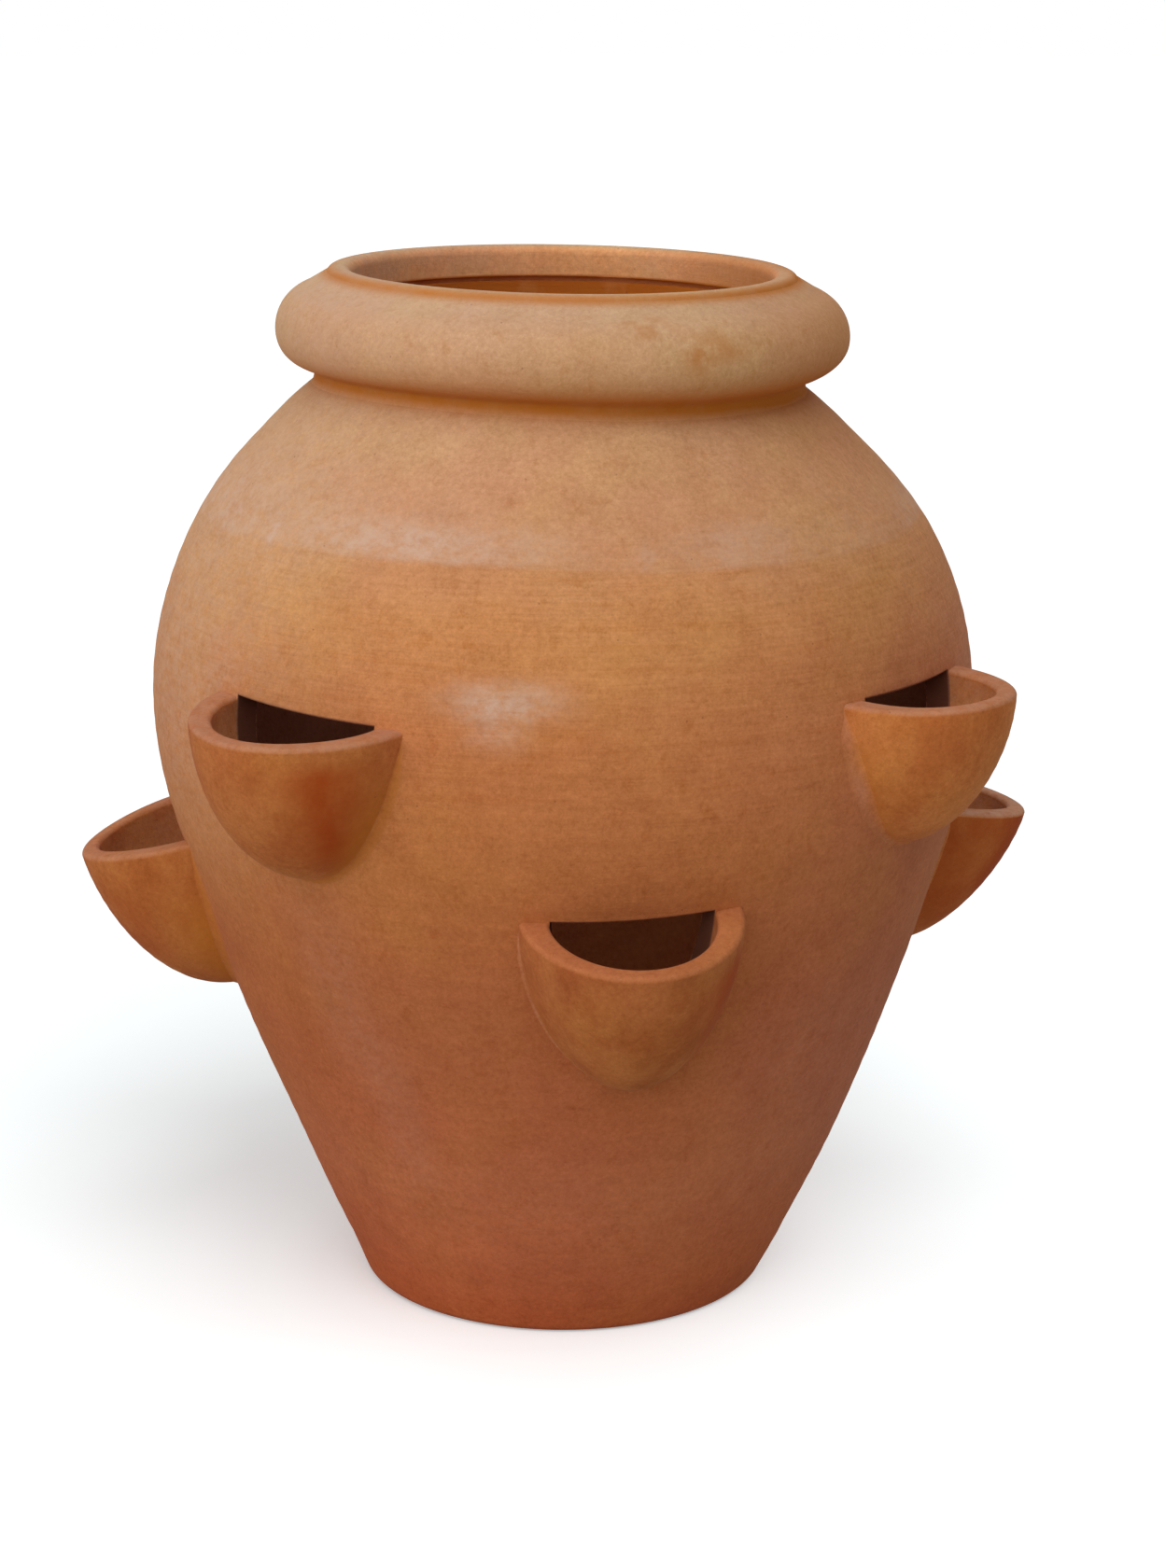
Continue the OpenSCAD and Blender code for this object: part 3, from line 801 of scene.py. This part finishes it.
pocketLook = dict(
    cols=121, sideRows=72, lipRows=25, domeRows=10,
    # under: how much painted shade lies along each pocket's joint with the wall
    oval=0.0011, lobes=0.0007, lipWave=0.0007, ridge=0.00010, ridgePitch=0.0085, under=0.85,
    # the hollow's red inner colour, brightened as painted light, its painted shade lower down, and how pale
    # it is under the lip
    hollowRed=0.50, hollowDeep=0.2, hollowPale=0.6,
    # red-brown soak: angle on the cup, half width, strength; then how dull the clay is, and how pale the lip
    # and the hollow under it
    marks=dict(
        low_1=(0.95, 0.45, 0.85, 0.62, 0.04), low_2=(0.0, 2.0, 1.15, 0.1, 0.55),
        low_3=(-0.5, 0.4, 0.5, 0.4, 0.2), low_4=(0.6, 0.4, 0.30, 0.35, 0.20),
        high_1=(0.85, 0.30, 0.35, 0.0, 0.28), high_2=(-0.3, 0.35, 0.5, 0.3, 0.3),
        high_3=(0.5, 0.4, 0.45, 0.2, 0.2), high_4=(0.80, 0.38, 1.00, 0.33, 0.28),
    ),
)


# a cup's section from below, over the lip and down inside, swept between the angles where it meets the wall
def makePocket(name, cup):
    look = pocketLook
    edgeRound = pocketShape["lipRound"]
    r, depth = cup["r"], cup["depth"]
    innerR, innerDepth = r - pocketShape["wall"] + 0.0001, depth - pocketShape["wall"]
    grow = -pocketShape["embed"]
    bend = 2 / cup["full"]
    along = np.linspace(0, 1, look["sideRows"])

    def side(rr, dd, out):
        start = math.asin((edgeRound / dd) ** (1 / bend))
        run = contactRun(cup, rr, dd, grow, along, start, out)
        rows = [np.stack([*run[:3], 0 * along + out])]
        if run[4]:
            t = np.linspace(run[3], np.pi / 2, look["domeRows"])[1:]
            er, eh = cupCurve(cup, rr, dd, t)
            rows.append(np.stack([er, eh, 0 * er + np.pi, 0 * er + out]))
        return np.concatenate(rows, 1), (look["domeRows"] - 1) * run[4]

    outer, outExtra = side(r, depth, 0.0)
    inner, inExtra = side(innerR, innerDepth, hollowOut)
    a = np.linspace(0, np.pi / 2, look["lipRows"] // 2 + 1)[1:]
    thirds = np.array([1, 2]) / 3  # two rows lie on the lip's flat top
    rise = -edgeRound + edgeRound * np.sin(a)
    lipH = np.concatenate([rise, 0 * thirds, rise[::-1]])
    lipR = np.concatenate([
        outer[0, 0] - edgeRound + edgeRound * np.cos(a),
        outer[0, 0] - edgeRound + thirds * (inner[0, 0] - outer[0, 0] + 2 * edgeRound),
        (inner[0, 0] + edgeRound - edgeRound * np.cos(a))[::-1],
    ])
    lipOut = np.concatenate([0 * a, thirds * hollowOut, 0 * a + hollowOut])
    over = np.stack([lipR, lipH, contactAngle(cup, lipR, lipH, grow, lipOut), lipOut])
    section = np.concatenate([outer[:, ::-1], over, inner], 1)
    sectionR, sectionH, sectionA, sectionOut = section[..., None]
    rows, cols = len(sectionR), look["cols"]
    u = np.linspace(-1, 1, cols)
    angle = sectionA * u
    rr, hh = sectionR + 0 * angle, sectionH + 0 * angle
    # unevenness dies out at the wall, so that the cup stays seated
    free = (1 - u ** 2) * np.clip(rr / 0.03, 0, 1)
    k = cup["phase"]
    move = look["oval"] * np.cos(2 * angle + k) + look["lobes"] * np.cos(3 * angle + 2.3 * k)
    outside = np.arange(rows)[:, None] < outer.shape[1]
    move = move + look["ridge"] * np.sin(2 * np.pi * hh / look["ridgePitch"] + angle + k) * outside
    wave = look["lipWave"] * np.cos(2.5 * angle + 1.9 * k) * np.exp(hh / 0.025)
    rr, hh = rr + move * free, hh + wave * free
    points = cupToWorld(cup, rr * np.sin(angle), -rr * np.cos(angle) - sectionOut, hh).reshape(-1, 3)
    quads = gridQuads(rows, cols)
    # the cut faces against the wall join the outer line to the inner one
    i = np.arange((rows - outExtra - inExtra) // 2 - 1)
    low, high = outExtra + i, rows - 1 - inExtra - i
    pair = np.stack([low, low + 1, high - 1, high], -1) * cols
    quads = np.concatenate([quads, pair, pair + cols - 1])
    points = byHand(turnedOnWall(cup, points))
    turn, wide, strength, dull, pale = look["marks"][name]
    share = np.clip(-hh / depth, 0, 1)
    stain = np.exp(-((angle - turn - 0.25 * share) / wide) ** 2)
    allOver = wide > 1  # such a soak reaches the lip and hides the painted shade along the joint
    stain = strength * stain * smoothStep(0.03, 0.20, share + 0.2 * allOver) * smoothStep(1.0, 0.6, share)
    lip = smoothStep(-0.0032, -0.0008, sectionH) + 0 * angle
    # painted shade along the joint, more on the right-hand side and lower down
    jointShade = smoothStep(0.60, 1.0, np.abs(u)) * (0.45 + 0.55 * smoothStep(-0.3, 0.3, u))
    grime = look["under"] * jointShade * smoothStep(0.08, 0.6, share) * (1 - 0.8 * allOver)
    hollow = np.arange(rows)[:, None] >= rows - inner.shape[1]
    # the hollow gets the red inner colour near its lip and painted shade deeper down
    inside = look["hollowRed"] * smoothStep(0.0, 0.3, share) * hollow
    deep = look["hollowDeep"] * smoothStep(0.3, 0.9, share) * hollow
    pale = pale * np.maximum(lip, look["hollowPale"] * hollow * smoothStep(0.45, 0.02, share))
    masks = dict(stain=stain * outside, lip=lip, grime=grime * outside, inside=inside, deep=deep)
    masks.update(dull=0 * angle + dull, bloom=pale)
    addPiece("pocket_" + name, points, quads, clayPocket, masks, 45)


for name, cup in cups.items():
    makePocket(name, cup)
print("stage: pockets made")

# Seams: soft clay pressed into the corner between a pocket and the wall

seamShape = dict(
    w=0.0080, footW=0.004, h=0.0050, rows=161, across=13, fade=0.10, uneven=0.25,
    slim=dict(low_1=0.45, low_2=0.8, high_4=0.8),  # share of the width that was left after wiping
    # the last two: painted shade on the seam's lower end and on its right-hand side
    corner=0.72, footShade=0.35, rightShade=0.50,
)


# a concave strip: a quadratic curve from the wall over the corner to the cup, fading out at the two lip ends
def makeSeam(name, cup):
    look = seamShape
    run = np.linspace(-1, 1, look["rows"])
    along = 1 - np.abs(run)
    r, depth = cup["r"], cup["depth"]

    def edge(moreR, moreDepth, grow):
        x, y, h = runPoints(contactRun(cup, r + moreR, depth + moreDepth, grow, along))
        return cupToWorld(cup, x * np.sign(run), y, h)

    corner = edge(0.0, 0.0, 0.0)
    slim = look["slim"].get(name, 1.0)
    onWall = edge(look["w"] * slim, look["footW"] * slim, -0.0003)
    onCup = edge(-0.0003, -0.0003, look["h"] * slim)
    sunk = edge(-0.001, -0.001, -0.001)
    k = cup["phase"] * 1.235
    uneven = 1 + look["uneven"] * np.sin(9 * run + k) * np.sin(4 * run + 2 * k)
    fade = (smoothStep(0, look["fade"], along) * uneven)[:, None]
    onWall = corner + (onWall - corner) * fade
    onCup = corner + (onCup - corner) * fade
    sunk = corner + (sunk - corner) * np.clip(fade, 0, 1)
    control = look["corner"] * corner + (1 - look["corner"]) / 2 * (onWall + onCup)
    q = np.linspace(0, 1, look["across"])[None, :, None]
    strip = bow(onWall[:, None], control[:, None], onCup[:, None], q)
    strip = np.concatenate([strip, sunk[:, None]], 1)
    quads = gridQuads(len(run), look["across"] + 1, closeCols=True)
    points = turnedOnWall(cup, strip.reshape(-1, 3))
    onBody = bodyMarks(points)
    points = byHand(points)
    share = np.append(1 - q.ravel(), 0.5)
    wallSide = np.tile(smoothStep(0.10, 0.75, share), len(run))
    # pale on the side that the wet finger ran along; painted shade on the other side and underneath
    right = smoothStep(-0.35, 0.35, run)
    middle = np.sin(np.pi * share)[None, :]
    smear = ((smoothStep(1.0, 0.4, along) * (1.0 - 0.9 * right))[:, None] * middle ** 2).ravel()
    paintedShade = look["footShade"] * smoothStep(0.5, 0.95, along) + look["rightShade"] * right
    grime = (paintedShade[:, None] * middle).ravel()
    masks = dict(wallSide=wallSide, smear=smear, grime=grime, roseAndShade=onBody["roseAndShade"])
    masks["bloom"] = onBody["bloom"] * wallSide
    masks["dull"] = np.full(len(points), pocketLook["marks"][name][3])
    addPiece("seam_" + name, points, quads, claySeam, masks, 60)


for name, cup in cups.items():
    makeSeam(name, cup)
print("stage: seams made")

# Rings with windows

windowGrid = dict(
    top=40, side=64, foot=40, rows=40, innerRows=14, sideShare=0.55, crowd=1.15, soften=0.0018,
    shadeByJambRow=((0, 2, 4), (0.0, 1.2, 2.0)),  # painted shade by row, none on the softened edge
)


# half of a window's outline in turn and height on the wall's face moved by grow: its straight top under the
# lip's plane, then the cup's hollow down to the point under it
def windowHalf(cup, grow, lift):
    grid = windowGrid

    def onWall(x, h):
        reach = np.full_like(x, 0.09)
        out, up = cupPlace(cup, halfway(lambda y: cupGap(cup, x, y, h, grow), -reach, reach), h)
        return np.stack([np.arctan2(x, out) * flatRadius, up], -1)

    r, depth = cup["r"] - pocketShape["wall"], cup["depth"] - pocketShape["wall"]
    run = contactRun(cup, r, depth, grow, np.linspace(0, 1, 400), 0.0, hollowOut)
    x, _, h = runPoints(run, hollowOut)
    side = onWall(x, h + lift * smoothStep(0.007, 0.0, -h))
    topX = np.linspace(0, x[0], 60)
    top = onWall(topX, np.full_like(topX, lift))
    side = evenAlong(side, 4 * (grid["side"] + grid["foot"]))
    cut = int(len(side) * grid["sideShare"])
    return np.concatenate([
        evenAlong(top, grid["top"] + 1),
        evenAlong(side[:cut + 1], grid["side"] + 1)[1:],
        evenAlong(side[cut:], grid["foot"] + 1)[1:],
    ])


# the matching half of the sector's rectangle
def sectorHalf(reach, topZ, footZ):
    grid = windowGrid
    corner, foot = (reach, topZ), (reach, footZ)
    return np.concatenate([
        np.linspace((0, topZ), corner, grid["top"] + 1),
        np.linspace(corner, foot, grid["side"] + 1)[1:],
        np.linspace(foot, (0, footZ), grid["foot"] + 1)[1:],
    ])


# both halves as one closed loop of turn and height round the cup
def closedLoop(right, left):
    return np.concatenate([right, left[::-1][1:-1] * (-1.0, 1.0)])


def windowLoop(cup, grow, lift):
    half = windowHalf(cup, grow, lift)
    loop = closedLoop(half, half)
    return np.stack(flatTurn(cup, loop[:, 0], loop[:, 1]), -1)


def onFace(cup, flat, grow):
    along, up = flat[..., 0], flat[..., 1]
    return fromPolar(cup["az"] + along / flatRadius, wallRadius(up, grow), up)


# a ring is made of sectors, one round each window: each face blends from the window's outline to the sector's
# edge, the jamb turns in over a softened edge and runs through the wall, and joint faces close the ring
def makeWindowRing(node, tier, footZ, topZ):
    grid, wall, soft = windowGrid, body["wall"], windowGrid["soften"]
    members = [cups[f"{tier}_{i + 1}"] for i in range(4)]
    turns = [c["az"] for c in members]
    bends = np.linspace(0, np.pi / 2, 5)[1:]
    steps = [(-soft * (1 - math.cos(b)), soft * (1 - math.sin(b))) for b in bends]
    steps += [(-soft - (wall - 2 * soft) * k, 0.0) for k in (0.33, 0.66, 1.0)]
    steps += [(soft * math.cos(b) - wall, soft * (1 - math.cos(np.pi / 2 - b))) for b in bends[:-1]]
    # painted shade of each jamb row
    jambRowShade = np.interp(np.arange(len(steps) + 2), *grid["shadeByJambRow"])
    allPoints, allQuads, skins, deeps, first = [], [], [], [], 0
    for i, cup in enumerate(members):
        after = (turns[(i + 1) % 4] - turns[i]) % (2 * np.pi) / 2 * flatRadius
        before = (turns[i] - turns[i - 1]) % (2 * np.pi) / 2 * flatRadius
        edge = closedLoop(sectorHalf(after, topZ, footZ), sectorHalf(before, topZ, footZ))
        count = len(edge)

        def face(grow, rows):
            share = np.linspace(0, 1, rows)[:, None, None] ** grid["crowd"]
            return onFace(cup, windowLoop(cup, grow, soft) * (1 - share) + edge * share, grow)

        outer, inner = face(0.0, grid["rows"]), face(-wall, grid["innerRows"])
        jamb = [onFace(cup, windowLoop(cup, grow, lift), grow) for grow, lift in steps]
        jamb = np.stack([outer[0], *jamb, inner[0]])
        joint = np.stack([outer[-1], inner[-1]])
        level = edge[:, 1]
        atJoint = np.isclose(level, np.roll(level, -1)) & (np.isclose(level, topZ) | np.isclose(level, footZ))
        innerShade = deepShade(inner[..., 2])
        # points, how much painted shade they get, and how many rows lie on the outer face
        sheets = (
            (outer, np.zeros(outer.shape[:2]), len(outer)),
            (inner, innerShade, 0),
            (jamb, np.repeat(jambRowShade, count), 1),
            (joint, np.stack([np.zeros(count), innerShade[-1]]), 1),
        )
        for sheet, shade, skinRows in sheets:
            quads = gridQuads(len(sheet), count, closeCols=True, first=first)
            allQuads.append(quads[atJoint] if sheet is joint else quads)
            allPoints.append(sheet.reshape(-1, 3))
            deeps.append(shade.ravel())
            skins.append(np.arange(len(sheet) * count) < skinRows * count)
            first += len(sheet) * count
    points, quads = np.concatenate(allPoints), np.concatenate(allQuads)
    used = np.zeros(len(points), dtype=bool)
    used[quads.ravel()] = True
    points, quads = points[used], (np.cumsum(used) - 1)[quads]
    masks = bodyMarks(points)
    masks["deep"] = np.concatenate(deeps)[used]
    points = byHand(ridged(points, np.concatenate(skins)[used]))
    addPiece(node, points, quads, clayWall, masks)


makeWindowRing("wall_low", "low", body["footRingZ"], body["lowRingZ"])
makeWindowRing("wall_belly", "high", body["lowRingZ"], body["bellyRingZ"])
print("stage: window rings made")

# Studio

studio = dict(
    skyLevel=0.30,
    suns=[
        # name, what it lights, strength, turn, height and spread in degrees
        ("topLight", "pot", 1.30, -12.0, 57.0, 75.0),
        ("leftLight", "pot", 1.30, -58.0, 14.0, 60.0),
        ("backLight", "pot", 0.35, 172.0, 32.0, 80.0),
        ("floorLight", "floor", 1.50, 5.0, 56.0, 44.0),
    ],
    floorRings=(0.0, 0.5, 1.5, 4.0, 14.0), floorSpokes=64, floorTone=0.64,
    # as the camera sees the floor: white in the open, and a light grey in the pot's warm shadow
    floorWhite=(1.00, 1.08, 1.10), floorGlow=0.38,
)


def makeWorld():
    world = bpy.data.worlds.new("studioSky")
    bpy.context.scene.world = world
    world.use_nodes = True
    tree = world.node_tree
    path = addNode(tree, "LightPath")
    seen = mathNode(tree, "MAXIMUM", path.outputs["Is Camera Ray"], path.outputs["Is Glossy Ray"])
    seen = mathNode(tree, "MAXIMUM", seen, path.outputs["Is Transmission Ray"])
    level = addShare(tree, seen, 1.0 - studio["skyLevel"], studio["skyLevel"])
    sky = next(n for n in tree.nodes if n.type == "BACKGROUND")
    sky.inputs["Color"].default_value = (1, 1, 1, 1)
    tree.links.new(level, sky.inputs["Strength"])


def makeSuns(floor):
    groups = {}
    for lights, state in (("pot", "EXCLUDE"), ("floor", "INCLUDE")):
        groups[lights] = bpy.data.collections.new(lights + "Lit")
        groups[lights].objects.link(floor)
        groups[lights].collection_objects[0].light_linking.link_state = state
    for name, lights, strength, turn, height, spread in studio["suns"]:
        data = bpy.data.lights.new(name, "SUN")
        data.energy = strength
        data.angle = math.radians(spread)
        lamp = newObject(name, data)
        lamp.rotation_euler = (math.radians(90 - height), 0, math.radians(turn))
        lamp.light_linking.receiver_collection = groups[lights]


# a wide disc of rings and spokes, white to the camera where no shadow falls
def makeFloorPlane():
    ring = np.array(studio["floorRings"])[:, None]
    az = np.linspace(0, 2 * np.pi, studio["floorSpokes"], endpoint=False)
    points = fromPolar(az, ring, 0.0).reshape(-1, 3)
    quads = gridQuads(len(ring), len(az), closeCols=True)
    finish, tree, shader = newFinish("paleFloor")
    shader.inputs["Roughness"].default_value = 1.0
    shader.inputs["Specular IOR Level"].default_value = 0.0
    path = addNode(tree, "LightPath")
    tone = (studio["floorTone"],) * 3
    colour = mixColour(tree, path.outputs["Is Camera Ray"], tone, studio["floorWhite"])
    tree.links.new(colour, shader.inputs["Base Color"])
    glow = times(tree, path.outputs["Is Camera Ray"], studio["floorGlow"])
    tree.links.new(glow, shader.inputs["Emission Strength"])
    shader.inputs["Emission Color"].default_value = (1, 1, 1, 1)
    floor = makeObject("studioFloor", points, quads, finish)
    return floor


makeWorld()
makeSuns(makeFloorPlane())
bpy.context.scene.view_settings.view_transform = "Standard"
print("stage: studio set")
